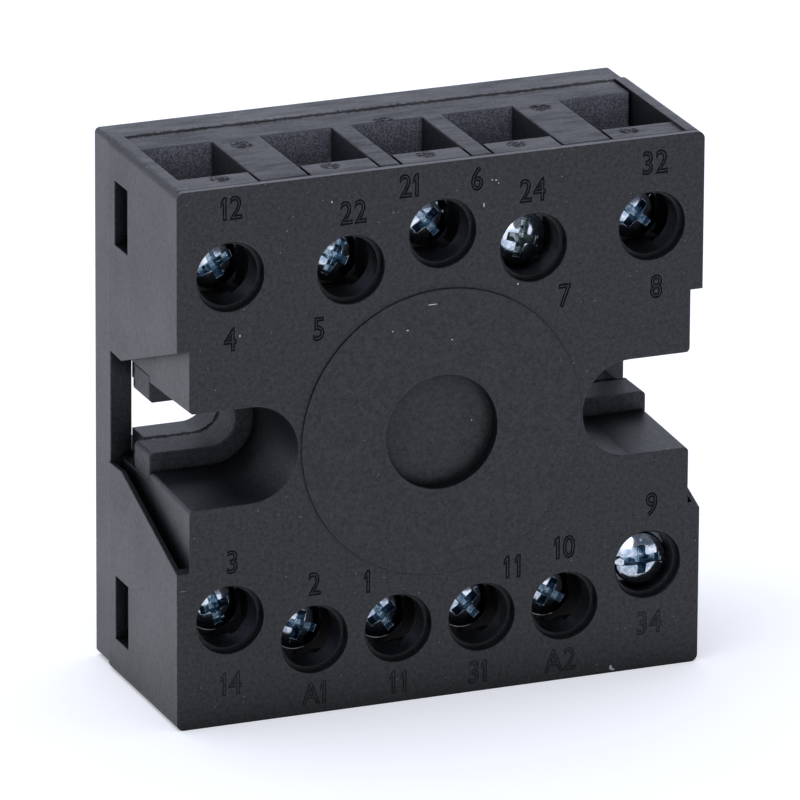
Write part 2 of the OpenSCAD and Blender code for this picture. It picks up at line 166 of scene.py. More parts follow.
add(sky, "ShaderNodeOutputWorld", {"Surface": sheet})

FLOOR_SIZE = 6.0
FLOOR_GLOW = 0.3
mesh = bpy.data.meshes.new("table")
half = FLOOR_SIZE / 2
corners = [(-half, -half, 0), (half, -half, 0), (half, half, 0), (-half, half, 0)]
mesh.from_pydata(corners, [], [(0, 1, 2, 3)])
table = bpy.data.objects.new("table", mesh)
scene.collection.objects.link(table)
paper = empty_material("white_paper")
tree = paper.node_tree
rays = add(tree, "ShaderNodeLightPath")
seen = add(tree, "ShaderNodeMath", {0: rays.outputs["Is Camera Ray"],
                                    1: rays.outputs["Is Glossy Ray"]}, operation="MAXIMUM")
glow = add(tree, "ShaderNodeMath", {0: seen, 1: FLOOR_GLOW}, operation="MULTIPLY")
matt = add(tree, "ShaderNodeBsdfPrincipled", {
    "Base Color": linear("#f4f4f4"), "Roughness": 0.9, "Specular IOR Level": 0.1,
    "Emission Color": linear("#ffffff"), "Emission Strength": glow})
add(tree, "ShaderNodeOutputMaterial", {"Surface": matt})
mesh.materials.append(paper)
scene.view_settings.view_transform = "Standard"

# Housing
# The wiring face with its side walls and screw guides, one moulding in black glass-filled
# polyamide. The tool was spark eroded, which leaves a fine matt grain, and its edges are
# slightly rounded and rubbed; their pale line is partly rubbed wear and partly painted highlight.
# The real grain is near 0.04 mm, too fine to show in the picture, so it is drawn coarser
FINE_GRAIN = 0.14 * MM
COARSE_GRAIN = 0.36 * MM
CLOUD = 6 * MM
PIT = 0.3 * MM
# Reach of the painted shade in creases and in hollows
CREVICE = 0.8 * MM
HOLLOW = 5 * MM
STREAK = 1.5 * MM
SPECK_SPACING = 0.6 * MM
SPECK_SIZE = 0.085
SCUFF_SPACING = 1.7 * MM
SCUFF_SHARE = 0.16
SCUFF_SIZE = 0.055
# Depths and heights that bound where these looks are seen
FLECKS_BEFORE = -8.7 * MM
LIP_BEFORE = -8.75 * MM
LIT_WALLS_BEHIND = 1 * MM
STREAKS_ABOVE = 44 * MM
MARKS_ABOVE = 44.6 * MM
# Pale edge line, partly rubbed wear and partly painted highlight; dust; and the black of the
# painted shade, the pitted marks and the dark lines
RUBBED_AND_LIT_EDGE = "#4b4c52"
DUST = "#dcdde1"
SHADE_AND_MARK_BLACK = "#060607"


def scattered(tree, place, spacing, share, size):
    """Small spots of unequal strength in a share of the cells of a random pattern, their size
    given as a part of the spacing."""
    cells = add(tree, "ShaderNodeTexVoronoi", {"Vector": place, "Scale": 1 / spacing})
    lot = add(tree, "ShaderNodeSeparateColor", {0: cells.outputs["Color"]})
    reach = add(tree, "ShaderNodeMapRange", {"Value": lot, "From Min": 1 - share, "To Min": 0,
                                             "To Max": size})
    there = add(tree, "ShaderNodeMath", {0: cells, 1: reach}, operation="LESS_THAN")
    strength = add(tree, "ShaderNodeMapRange", {"Value": lot.outputs[1], "To Min": 0.05,
                                              "To Max": 0.6})
    return add(tree, "ShaderNodeMath", {0: there, 1: strength}, operation="MULTIPLY")


def flecks_at(tree, place, flecks):
    """Single flecks and scratches on the wiring face, each given by x, z, half length and half
    height in millimetres."""
    seen = 0.0
    for x, z, length, height in flecks:
        moved = add(tree, "ShaderNodeVectorMath", {0: place, 1: (-x * MM, 0, -z * MM)})
        scaled = add(tree, "ShaderNodeVectorMath", {
            0: moved, 1: (1 / length / MM, 0, 1 / height / MM)}, operation="MULTIPLY")
        gap = add(tree, "ShaderNodeVectorMath", {0: scaled}, operation="LENGTH")
        one = add(tree, "ShaderNodeMapRange", {"Value": gap, "From Min": 1.1, "From Max": 0.7})
        seen = add(tree, "ShaderNodeMath", {0: seen, 1: one}, operation="MAXIMUM")
    depth = add(tree, "ShaderNodeSeparateXYZ", {0: place}).outputs["Y"]
    front = add(tree, "ShaderNodeMath", {0: depth, 1: FLECKS_BEFORE}, operation="LESS_THAN")
    return add(tree, "ShaderNodeMath", {0: seen, 1: front}, operation="MULTIPLY")


def ejector_marks(tree, place, level, spots, radius):
    """Rough pitted discs where pins or gates met the upper edge of a moulding, each given by x
    and y in millimetres."""
    flat = add(tree, "ShaderNodeVectorMath", {0: place, 1: (1, 1, 0)}, operation="MULTIPLY")
    nearest = 1.0
    for x, y in spots:
        gap = add(tree, "ShaderNodeVectorMath", {0: flat, 1: (x * MM, y * MM, 0)},
                  operation="DISTANCE")
        nearest = add(tree, "ShaderNodeMath", {0: nearest, 1: gap}, operation="MINIMUM")
    inside = add(tree, "ShaderNodeMapRange", {"Value": nearest, "From Min": radius,
                                              "From Max": 0.75 * radius})
    height = add(tree, "ShaderNodeSeparateXYZ", {0: place}).outputs["Z"]
    top = add(tree, "ShaderNodeMath", {0: height, 1: MARKS_ABOVE}, operation="GREATER_THAN")
    pits = add(tree, "ShaderNodeTexVoronoi", {"Vector": place, "Scale": 1 / PIT})
    pitted = add(tree, "ShaderNodeMapRange", {"Value": pits, "From Min": 0.75, "From Max": 0.5})
    on_top = add(tree, "ShaderNodeMath", {0: inside, 1: top}, operation="MULTIPLY")
    rough = add(tree, "ShaderNodeMath", {0: on_top, 1: pitted}, operation="MULTIPLY")
    return add(tree, "ShaderNodeMath", {0: rough, 1: level}, operation="MULTIPLY")


def joint_and_shadow_line_mask(tree, sides, facing, waves, joints):
    """Irregular dark line along each joint with another moulding, and the painted shadow line along
    the lip's step, on the faces that it crosses. Each is given by its y, half its width and its
    range of z in millimetres."""
    wander = add(tree, "ShaderNodeMath", {0: waves, 1: -0.5}, operation="ADD")
    drawn_lines = 0.0
    for y, half_width, from_z, to_z in joints:
        bent = add(tree, "ShaderNodeMath", {
            0: wander, 1: 3 * half_width * MM, 2: sides.outputs["Y"]}, operation="MULTIPLY_ADD")
        line = add(tree, "ShaderNodeMath", {0: bent, 1: y * MM, 2: half_width * MM},
                   operation="COMPARE")
        part = add(tree, "ShaderNodeMath", {0: sides.outputs["Z"], 1: (from_z + to_z) / 2 * MM,
                                            2: (to_z - from_z) / 2 * MM}, operation="COMPARE")
        here = add(tree, "ShaderNodeMath", {0: line, 1: part}, operation="MULTIPLY")
        drawn_lines = add(tree, "ShaderNodeMath", {0: drawn_lines, 1: here}, operation="MAXIMUM")
    across = add(tree, "ShaderNodeMath", {0: facing.outputs["Y"], 1: 0, 2: 0.4},
                 operation="COMPARE")
    return add(tree, "ShaderNodeMath", {0: drawn_lines, 1: across}, operation="MULTIPLY")


def rubbed_and_lit_edges(tree, rounded, near, grain):
    """Outward edges, where the surface turns within its rounding, broken up by the grain: a pale
    line, partly wear from rubbing and partly painted highlight.
    """
    true_normal = add(tree, "ShaderNodeNewGeometry").outputs["True Normal"]
    turn = add(tree, "ShaderNodeVectorMath", {0: rounded, 1: true_normal}, operation="DOT_PRODUCT")
    turned = add(tree, "ShaderNodeMapRange", {"Value": turn, "From Min": 0.995, "From Max": 0.8})
    outward = add(tree, "ShaderNodeMapRange", {"Value": near, "From Min": 0.75, "From Max": 0.95})
    patchy = add(tree, "ShaderNodeMapRange", {"Value": grain, "From Min": 0.35, "From Max": 0.65})
    proud = add(tree, "ShaderNodeMath", {0: turned, 1: outward}, operation="MULTIPLY")
    return add(tree, "ShaderNodeMath", {0: proud, 1: patchy}, operation="MULTIPLY")


def dust_and_scuffs(tree, place, share, flecks):
    """Specks of dust, short faint scuffs and the single flecks."""
    specks = scattered(tree, place, SPECK_SPACING, share, SPECK_SIZE)
    long_way = add(tree, "ShaderNodeMapping", {"Vector": place, "Rotation": (0.4, 0.9, 0.2),
                                               "Scale": (0.3, 1, 2.2)})
    scuffs = scattered(tree, long_way, SCUFF_SPACING, SCUFF_SHARE, SCUFF_SIZE)
    faint = add(tree, "ShaderNodeMath", {0: scuffs, 1: 0.45}, operation="MULTIPLY")
    strewn = add(tree, "ShaderNodeMath", {0: specks, 1: faint}, operation="MAXIMUM")
    return add(tree, "ShaderNodeMath", {0: strewn, 1: flecks_at(tree, place, flecks)},
               operation="MAXIMUM")


def top_lustre(tree, place, sides, level):
    """Factor on the sheen: streaks along the upper edge, brightest on the front wall's top."""
    drawn = add(tree, "ShaderNodeMapping", {"Vector": place, "Scale": (0.3, 1.4, 1),
                                            "Rotation": (0, 0, 0.25)})
    streaks = add(tree, "ShaderNodeTexNoise", {"Vector": drawn, "Scale": 1 / STREAK, "Detail": 5,
                                               "Roughness": 0.65})
    high = add(tree, "ShaderNodeMath", {0: sides.outputs["Z"], 1: STREAKS_ABOVE},
               operation="GREATER_THAN")
    upward = add(tree, "ShaderNodeMath", {0: level, 1: high}, operation="MULTIPLY")
    streaked = add(tree, "ShaderNodeMapRange", {
        "Value": streaks, "From Min": 0.36, "From Max": 0.64, "To Min": 0.5, "To Max": 1.8})
    lip = add(tree, "ShaderNodeMath", {0: sides.outputs["Y"], 1: LIP_BEFORE}, operation="LESS_THAN")
    lipped = add(tree, "ShaderNodeMath", {0: lip, 1: 1.3, 2: streaked}, operation="MULTIPLY_ADD")
    return add(tree, "ShaderNodeMix", {0: upward, 2: 1.0, 3: lipped})


def moulded_polyamide(name, colour, pale, lit_wall_tones, roughness, grain_depth, edge_radius, shade, dust,
                      spots, spot_radius, joints, flecks):
    """Spark-eroded black moulding: matt and finely grained, with a pale line on its outward edges
    that is partly wear from rubbing and partly painted highlight, painted light on its deep sides
    that face the wiring side, painted shade in its creases and hollows, dark along each joint and
    along a painted shadow line where one is given, streaked on top, with dust, scuffs and pitted
    marks."""
    material = empty_material(name)
    tree = material.node_tree
    spot = add(tree, "ShaderNodeTexCoord")
    place = spot.outputs["Object"]
    sides = add(tree, "ShaderNodeSeparateXYZ", {0: place})
    facing = add(tree, "ShaderNodeSeparateXYZ", {0: spot.outputs["Normal"]})
    level = add(tree, "ShaderNodeMapRange", {"Value": facing.outputs["Z"], "From Min": 0.8,
                                             "From Max": 0.95})
    fine = add(tree, "ShaderNodeTexNoise", {"Vector": place, "Scale": 1 / FINE_GRAIN, "Detail": 2,
                                            "Roughness": 0.7})
    coarse = add(tree, "ShaderNodeTexNoise", {"Vector": place, "Scale": 1 / COARSE_GRAIN,
                                              "Detail": 3, "Roughness": 0.6})
    grain = add(tree, "ShaderNodeMath", {0: fine, 1: coarse}, operation="ADD")
    cloud = add(tree, "ShaderNodeTexNoise", {"Vector": place, "Scale": 1 / CLOUD, "Detail": 4})
    rounded = add(tree, "ShaderNodeBevel", {"Radius": edge_radius}, samples=4)
    near = add(tree, "ShaderNodeAmbientOcclusion", {"Distance": CREVICE}, samples=4).outputs["AO"]
    wide = add(tree, "ShaderNodeAmbientOcclusion", {"Distance": HOLLOW}, samples=4).outputs["AO"]

    # Charcoal mottled by the grain. The walls seen through the wire pockets, which face the wiring
    # side, take a paler grey as painted light
    speckle = add(tree, "ShaderNodeMapRange", {"Value": grain, "From Min": 0.68, "From Max": 1.32,
                                               "To Max": 0.8})
    drift = add(tree, "ShaderNodeMapRange", {"Value": cloud, "From Min": 0.35, "From Max": 0.7,
                                             "To Max": 0.2})
    mottled = add(tree, "ShaderNodeMath", {0: speckle, 1: drift}, operation="ADD")
    base = add(tree, "ShaderNodeMix", {0: mottled, 6: linear(colour), 7: linear(pale)},
               data_type="RGBA")
    forward = add(tree, "ShaderNodeMapRange", {"Value": facing.outputs["Y"], "From Min": -0.7,
                                               "From Max": -0.9})
    deep = add(tree, "ShaderNodeMath", {0: sides.outputs["Y"], 1: LIT_WALLS_BEHIND},
               operation="GREATER_THAN")
    wall = add(tree, "ShaderNodeMath", {0: forward, 1: deep}, operation="MULTIPLY")
    sparkle = add(tree, "ShaderNodeMapRange", {"Value": fine, "From Min": 0.42, "From Max": 0.72})
    grey = add(tree, "ShaderNodeMix", {0: sparkle, 6: linear(lit_wall_tones[0]), 7: linear(lit_wall_tones[1])},
               data_type="RGBA")
    with_painted_wall_light = add(tree, "ShaderNodeMix", {0: wall, 6: base, 7: grey}, data_type="RGBA")
    # Pale line on outward edges, partly rubbed wear and partly painted highlight
    edge = rubbed_and_lit_edges(tree, rounded, near, fine)
    worn_and_lit = add(tree, "ShaderNodeMix", {0: edge, 6: with_painted_wall_light, 7: linear(RUBBED_AND_LIT_EDGE)}, data_type="RGBA")
    pale_dust = dust_and_scuffs(tree, place, dust, flecks)
    dusty = add(tree, "ShaderNodeMix", {0: pale_dust, 6: worn_and_lit, 7: linear(DUST)},
                data_type="RGBA")

    # Painted shade in creases and hollows, and the dark joint lines, the painted shadow line at the
    # lip's step and the pitted marks
    crevice_shade = add(tree, "ShaderNodeMapRange", {"Value": near, "From Min": 0.7, "From Max": 0.3})
    hollow_shade = add(tree, "ShaderNodeMapRange", {"Value": wide, "From Min": 0.85, "From Max": 0.35,
                                              "To Max": shade})
    bare = add(tree, "ShaderNodeMath", {0: 1.0, 1: wall}, operation="SUBTRACT")
    hollow_shade_off_walls = add(tree, "ShaderNodeMath", {0: hollow_shade, 1: bare}, operation="MULTIPLY")
    marks = ejector_marks(tree, place, level, spots, spot_radius)
    line_mask = joint_and_shadow_line_mask(tree, sides, facing, coarse, joints)
    marks_and_lines = add(tree, "ShaderNodeMath", {0: marks, 1: line_mask}, operation="MAXIMUM")
    crevice_shade_and_marks = add(tree, "ShaderNodeMath", {0: crevice_shade, 1: marks_and_lines}, operation="MAXIMUM")
    dark = add(tree, "ShaderNodeMath", {0: crevice_shade_and_marks, 1: hollow_shade_off_walls}, operation="MAXIMUM")
    shaded = add(tree, "ShaderNodeMix", {0: dark, 6: dusty, 7: linear(SHADE_AND_MARK_BLACK)}, data_type="RGBA")

    # The sheen glints with the grain, streaks the upper edge, and is lost in the painted shade and
    # on the dark marks and lines
    glint = add(tree, "ShaderNodeMapRange", {"Value": grain, "From Min": 0.7, "From Max": 1.3,
                                             "To Min": 0.36, "To Max": 0.64})
    lustre = top_lustre(tree, place, sides, level)
    lively = add(tree, "ShaderNodeMath", {0: glint, 1: lustre}, operation="MULTIPLY")
    kept = add(tree, "ShaderNodeMath", {0: dark, 1: -0.92, 2: 1.0}, operation="MULTIPLY_ADD")
    specular = add(tree, "ShaderNodeMath", {0: lively, 1: kept}, operation="MULTIPLY")
    sheen = add(tree, "ShaderNodeMapRange", {
        "Value": cloud, "From Min": 0.3, "From Max": 0.7, "To Min": roughness - 0.04,
        "To Max": roughness + 0.04})
    pressed = add(tree, "ShaderNodeMath", {0: marks, 1: -2.5, 2: grain}, operation="MULTIPLY_ADD")
    bump = add(tree, "ShaderNodeBump", {"Height": pressed, "Distance": grain_depth,
                                        "Normal": rounded})
    # Smooth polyamide has an IOR of 1.53, and its eroded skin shines a little less
    shader = add(tree, "ShaderNodeBsdfPrincipled", {
        "Base Color": shaded, "Roughness": sheen, "IOR": 1.43, "Specular IOR Level": specular,
        "Normal": bump})
    add(tree, "ShaderNodeOutputMaterial", {"Surface": shader})
    return material


def dress(node, material):
    """Gives a CAD piece its material."""
    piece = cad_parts[node]
    piece.data.materials.clear()
    piece.data.materials.append(material)
    return piece


# The chip near the lower edge, and the flecks and scratches that stand out on the face
FLECKS = [(14.9, 0.45, 0.13, 0.2), (15.08, 0.26, 0.17, 0.08), (4.2, 43.05, 0.05, 0.06),
          (4.55, 43, 0.09, 0.05), (4.75, 42.72, 0.04, 0.06), (3.52, 41.04, 0.045, 0.2),
          (-0.87, 33.3, 0.42, 0.04), (-2.99, 31.38, 0.09, 0.05), (6.5, 34.08, 0.06, 0.08),
          (0.82, 30.16, 0.05, 0.07), (-9.43, 42.81, 0.05, 0.09), (-4.27, 31.45, 0.06, 0.05),
          (-17.18, 32.62, 0.05, 0.1)]
LEDGE_MARKS = [(-17.8, -6.5), (-8.5, -6.6), (-0.35, -6.5), (7.4, -6.6), (17.1, -6.6)]
# Painted shadow line where the ledges meet the front lip, drawn like a joint
LIP_STEP_SHADOW = (-8.72, 0.09, 44.9, 45.1)
housing_moulding = moulded_polyamide(
    "spark_eroded_polyamide_housing", colour="#0c0d0f", pale="#27282b",
    lit_wall_tones=("#17181a", "#27282b"), roughness=0.4, grain_depth=0.012 * MM, edge_radius=0.16 * MM,
    shade=0.8, dust=0.6, spots=LEDGE_MARKS, spot_radius=0.95 * MM, joints=[LIP_STEP_SHADOW],
    flecks=FLECKS)
housing = dress("housing", housing_moulding)

# Terminal numbers
# Thin outlines engraved in the wiring face beside each hole, the contact's number and the
# relay's pin number, moulded with the face. The lowest row is worn shallow.
FACE_Y = -9.35 * MM
NUMBER_HEIGHT = 1.95 * MM
DIGIT_OVER_SIZE = 0.73
NUMBER_SLIM = 0.82
LETTER_SPACE = 1.1
ONE_SPACE = 0.88
ENGRAVING = 0.1 * MM
SUNK = 0.03 * MM
WORN_BELOW = 5
WORN_SUNK = -0.02 * MM
# What is written, and the x and z of its middle in millimetres
NUMBERS = [
    ("12", -18.0, 43.2), ("4", -18.0, 32.3), ("22", -7.6, 41.65), ("5", -10.5, 32.3),
    ("21", -2.7, 43.3), ("6", 2.9, 43.2), ("24", 7.7, 41.7), ("7", 10.5, 32.55),
    ("32", 18.2, 42.8), ("8", 18.45, 32.35), ("3", -17.8, 13.65), ("14", -18.0, 3.4),
    ("2", -10.8, 10.9), ("A1", -10.6, 1.6), ("1", -6.2, 10.5), ("11", -3.5, 1.6),
    ("11", 6.3, 10.15), ("31", 3.45, 1.55), ("10", 10.65, 11.2), ("A2", 10.5, 1.6),
    ("9", 18.3, 13.9), ("34", 18.2, 3.8)]
# Outline of a 1 with its flag, from the right foot, in widths and heights of the font's bare bar
BAR_SLIM = 0.25
ONE = [(0, 0), (0, 1), (-0.75, 1), (-1.9, 0.8), (-1.9, 0.66), (-1, 0.76), (-1, 0)]


def flag_ones(lines):
    """Gives each 1, which is a bare bar in the font, the flag that the real one has."""
    for letter in list(lines.splines):
        across = [point.co.x for point in letter.bezier_points]
        upward = [point.co.y for point in letter.bezier_points]
        width, height = max(across) - min(across), max(upward) - min(upward)
        if width < BAR_SLIM * height:
            flagged = lines.splines.new("POLY")
            flagged.points.add(len(ONE) - 1)
            for point, (u, v) in zip(flagged.points, ONE):
                point.co = (max(across) + u * width, min(upward) + v * height, 0, 1)
            flagged.use_cyclic_u = True
            lines.splines.remove(letter)


def outline_of(body, x, z):
    """Pipe along the outline of a number, standing in the wiring face."""
    words = bpy.data.curves.new("number", "FONT")
    words.body = body
    words.size = NUMBER_HEIGHT / DIGIT_OVER_SIZE
    words.align_x, words.align_y = "CENTER", "CENTER"
    words.space_character = ONE_SPACE if "1" in body else LETTER_SPACE
    words.resolution_u = 3
    typed = bpy.data.objects.new("number", words)
    scene.collection.objects.link(typed)
    lines = typed.to_curve(bpy.context.evaluated_depsgraph_get()).copy()
    bpy.data.objects.remove(typed)
    flag_ones(lines)
    lines.dimensions = "2D"
    lines.fill_mode = "NONE"
    lines.bevel_depth = ENGRAVING
    lines.bevel_resolution = 1
    thing = bpy.data.objects.new("number", lines)
    scene.collection.objects.link(thing)
    depth = WORN_SUNK if z < WORN_BELOW else SUNK
    thing.matrix_world = (Matrix.Translation((x * MM, FACE_Y + depth, z * MM))
                          @ Matrix.Rotation(math.pi / 2, 4, "X")
                          @ Matrix.Diagonal((NUMBER_SLIM, 1, 1, 1)))
    return thing


def merged(things, name):
    """One mesh object made of several, in the row frame."""
    whole = bmesh.new()
    graph = bpy.context.evaluated_depsgraph_get()
    for thing in things:
        piece = bpy.data.meshes.new_from_object(thing.evaluated_get(graph))
        piece.transform(thing.matrix_world)
        whole.from_mesh(piece)
        bpy.data.meshes.remove(piece)
        bpy.data.objects.remove(thing)
    mesh = bpy.data.meshes.new(name)
    whole.to_mesh(mesh)
    whole.free()
    made = bpy.data.objects.new(name, mesh)
    scene.collection.objects.link(made)
    return made


outlines = [outline_of(*number) for number in NUMBERS]
bpy.context.view_layer.update()
number_cutter = merged(outlines, "number_cutter")
number_cutter.hide_render = True
number_cutter.hide_viewport = True
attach(number_cutter, "socket")
WELD_GAP = 0.0005 * MM
CRISP_ANGLE = 28
weld = housing.modifiers.new("weld", "WELD")
weld.merge_threshold = WELD_GAP
engrave = housing.modifiers.new("engrave", "BOOLEAN")
engrave.operation = "DIFFERENCE"
engrave.solver = "EXACT"
engrave.use_self = True
engrave.object = number_cutter
crisp = housing.modifiers.new("crisp", "EDGE_SPLIT")
crisp.split_angle = math.radians(CRISP_ANGLE)

# Carrier
# The comb behind the face that parts the wires, a second black moulding pressed into the
# housing. It has a coarser grain and no handling wear, for nothing touches it, so the pale line on
# its outward edges is painted highlight here. Its deep walls that face the wiring side take a much
# paler grey as painted light.
# Where the runners that fed the moulding were cut off
GATE_MARKS = [(-13.05, 1.0), (-0.2, 2.7), (12.85, 1.45)]
PLATE_JOINT = (6.15, 0.36, 40, 46)
LIP_JOINT = (-7.97, 0.09, 40, 46)
EAR_JOINT = (3.17, 0.3, 10, 36)
carrier_moulding = moulded_polyamide(
    "spark_eroded_polyamide_carrier", colour="#131416", pale="#323337",
    lit_wall_tones=("#5f6066", "#a6a7ae"), roughness=0.48, grain_depth=0.04 * MM, edge_radius=0.3 * MM,
    shade=0.1, dust=0.3, spots=GATE_MARKS, spot_radius=1.05 * MM,
    joints=[PLATE_JOINT, LIP_JOINT, EAR_JOINT], flecks=[])
dress("carrier", carrier_moulding)

# Relay plate
# The flange on the relay side, the third moulding in the same polyamide, smooth where it is
# handled. Its four arms snap into the side walls' windows.
plate_moulding = moulded_polyamide(
    "spark_eroded_polyamide_relay_plate", colour="#0d0e10", pale="#28292d",
    lit_wall_tones=("#17181a", "#27282b"), roughness=0.39, grain_depth=0.012 * MM, edge_radius=0.2 * MM,
    shade=0.6, dust=0.3, spots=[], spot_radius=0.3 * MM, joints=[PLATE_JOINT, EAR_JOINT],
    flecks=[])
dress("relay_plate", plate_moulding)

# Contacts
# Eleven strips of brass, bent and tin plated, each with a threaded neck, standing in slots of
# the carrier. They show as a dull pale grey with darker clouds, deep in the socket.
TARNISH = 1.2 * MM
ROLLING_LENGTH = 0.5 * MM


def tinned_brass(name):
    """Tin plating on rolled brass: satin, with fine rolling lines and grey tarnish."""
    material = empty_material(name)
    tree = material.node_tree
    place = add(tree, "ShaderNodeTexCoord").outputs["Object"]
    cloud = add(tree, "ShaderNodeTexNoise", {"Vector": place, "Scale": 1 / TARNISH,
                                             "Detail": 4})
    drawn = add(tree, "ShaderNodeMapping", {"Vector": place, "Scale": (1, 1, 14)})
    lines = add(tree, "ShaderNodeTexNoise", {"Vector": drawn, "Scale": 1 / ROLLING_LENGTH})
    bump = add(tree, "ShaderNodeBump", {"Height": lines, "Distance": 0.003 * MM})
    tarnished = add(tree, "ShaderNodeMix", {0: cloud, 6: linear("#9b9a94"), 7: linear("#5f5d57")},
                    data_type="RGBA")
    shader = add(tree, "ShaderNodeBsdfPrincipled", {
        "Base Color": tarnished, "Metallic": 1.0, "Roughness": 0.38, "Normal": bump})
    add(tree, "ShaderNodeOutputMaterial", {"Surface": shader})
    return material


tin = tinned_brass("tin_plated_brass_contact")
terminals = [name[len("screw_"):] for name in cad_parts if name.startswith("screw_")]
for k in terminals:
    dress("contact_" + k, tin)

# Clamp plates
# Eleven plates under the screw heads that press the wire down, stamped from sheet steel and
# zinc plated in a barrel, which leaves them a pale, satin bluish grey.
PASSIVATION_CLOUD = 0.5 * MM
SCRATCH_LENGTH = 0.4 * MM


def zinc_plating(name, colour, tint, roughness, dent_size, relief, edge_radius):
    """Barrel zinc plating, passivated blue: a pale mirror with bluer clouds, dented and
    scratched, with its edges rounded."""
    material = empty_material(name)
    tree = material.node_tree
    place = add(tree, "ShaderNodeTexCoord").outputs["Object"]
    cloud = add(tree, "ShaderNodeTexNoise", {"Vector": place, "Scale": 1 / PASSIVATION_CLOUD,
                                             "Detail": 4, "Roughness": 0.6})
    dents = add(tree, "ShaderNodeTexNoise", {"Vector": place, "Scale": 1 / dent_size, "Detail": 3})
    stretch = add(tree, "ShaderNodeMapping", {"Vector": place, "Scale": (1, 1, 7),
                                              "Rotation": (0.3, 0.5, 0.8)})
    scratches = add(tree, "ShaderNodeTexNoise", {"Vector": stretch, "Scale": 1 / SCRATCH_LENGTH,
                                                 "Detail": 3})
    clouded = add(tree, "ShaderNodeMapRange", {"Value": cloud, "From Min": 0.4, "From Max": 0.62})
    base = add(tree, "ShaderNodeMix", {0: clouded, 6: linear(colour), 7: linear(tint)},
               data_type="RGBA")
    gloss = add(tree, "ShaderNodeMapRange", {
        "Value": cloud, "From Min": 0.3, "From Max": 0.8, "To Min": roughness - 0.04,
        "To Max": roughness + 0.12})
    rounded = add(tree, "ShaderNodeBevel", {"Radius": edge_radius}, samples=4)
    uneven = add(tree, "ShaderNodeMath", {0: scratches, 1: 0.35, 2: dents},
                 operation="MULTIPLY_ADD")
    bump = add(tree, "ShaderNodeBump", {"Height": uneven, "Distance": relief, "Normal": rounded})
    shader = add(tree, "ShaderNodeBsdfPrincipled", {
        "Base Color": base, "Metallic": 1.0, "Roughness": gloss, "Normal": bump})
    add(tree, "ShaderNodeOutputMaterial", {"Surface": shader})
    return material


clamp_zinc = zinc_plating("zinc_plated_clamp", "#aab2bd", "#7c8796", roughness=0.33,
                          dent_size=0.3 * MM, relief=0.01 * MM, edge_radius=0.05 * MM)
for k in terminals:
    dress("clamp_" + k, clamp_zinc)

# Terminal screws
# Eleven screws headed and rolled from wire, zinc plated and passivated blue: a low dome with a
# slot and a cross pressed in one stroke, and a thread that runs in the contact's neck.
# Screwdrivers have chewed the recess, so no two heads are alike.
HEAD_R = 2.2 * MM
HEAD_HEIGHT = 1.6 * MM
DOME_R = 5.5 * MM
RIM = 0.16 * MM
SHANK_R = 1.225 * MM
ROOT_R = 0.98 * MM
PITCH = 0.45 * MM
SHANK_LENGTH = 6 * MM
SLOT_WIDTH = 0.74 * MM
SLOT_DEPTH = 0.7 * MM
SLOT_REACH = 1.72 * MM
CROSS_REACH = 1.34 * MM
CROSS_DEPTH = 1.1 * MM
CROSS_HEART = 0.52 * MM
# Degrees by which each screw's cross stands turned about its axis
RECESS_TURN = {"12": -26, "22": -62, "21": 52, "24": -75, "32": 40, "14": 75, "a1": 20,
               "11": 58, "31": 50, "a2": 33, "34": -2}
HEAD_SIDES = 72
DOME_STEPS = 12
RIM_STEPS = 4
RIM_STRETCH = 1.3
SHOULDER = 0.1 * MM
NECK_CONE = 0.12 * MM
NECK_LENGTH = 0.4 * MM
HEART_SIDES = 24
THREAD_SIDES = 28
THREAD_STEPS = 6
RUNOUT = 0.3 * MM
TIP_LENGTH = 0.6 * MM
TIP_SLIM = 0.62
FLANK = 2.6
DENT = 0.01 * MM
DENT_SIZE = 0.55 * MM
CHEWED = 0.028 * MM
PRESSED = 0.045 * MM
NICKS = 7
NICK_RADII = (0.7, 1.9)
NICK_SIZES = (0.06, 0.16)
NICK_STRETCH = (1.5, 3)
NICK_SINK = 0.02 * MM
ABOVE = 0.4 * MM
ARM_STEPS = 9


def revolved(profile, sides):
    """Closed solid turned about Y from points (radius, height), the first and last on the axis."""
    made = bmesh.new()
    rings = []
    for radius, height in profile:
        if radius == 0:
            rings.append([made.verts.new((0, height, 0))])
        else:
            rings.append([made.verts.new((radius * math.cos(a), height, radius * math.sin(a)))
                          for a in (2 * math.pi * i / sides for i in range(sides))])
    for low, high in zip(rings, rings[1:]):
        for i in range(sides):
            j = (i + 1) % sides
            quad = [low[i % len(low)], low[j % len(low)], high[j % len(high)], high[i % len(high)]]
            made.faces.new(list(dict.fromkeys(quad)))
    bmesh.ops.recalc_face_normals(made, faces=made.faces)
    return made


def as_object(made, name):
    """Object that holds a finished bmesh."""
    mesh = bpy.data.meshes.new(name)
    made.to_mesh(mesh)
    made.free()
    thing = bpy.data.objects.new(name, mesh)
    scene.collection.objects.link(thing)
    return thing


def tapered(chance, length, width, depth, narrow, shorten):
    """Punch for one arm of the recess, from above the head to its depth, with uneven flanks."""
    made = bmesh.new()
    rings = []
    for i in range(ARM_STEPS):
        along = 2 * i / (ARM_STEPS - 1) - 1
        ring = []
        for side in (-1, 1):
            uneven = chance.uniform(-CHEWED, CHEWED)
            mouth = side * width / 2 * (1 + ABOVE / depth * (1 - narrow)) + uneven
            foot = side * width / 2 * narrow + uneven / 2
            reach = length * along * (1 + ABOVE / depth * (1 - shorten))
            ring += [(reach, -ABOVE, mouth), (length * along * shorten, depth, foot)][::side]
        rings.append([made.verts.new(corner) for corner in ring])
    for low, high in zip(rings, rings[1:]):
        for i in range(4):
            j = (i + 1) % 4
            made.faces.new((low[i], low[j], high[j], high[i]))
    made.faces.new(rings[0])
    made.faces.new(rings[-1])
    bmesh.ops.recalc_face_normals(made, faces=made.faces)
    return made


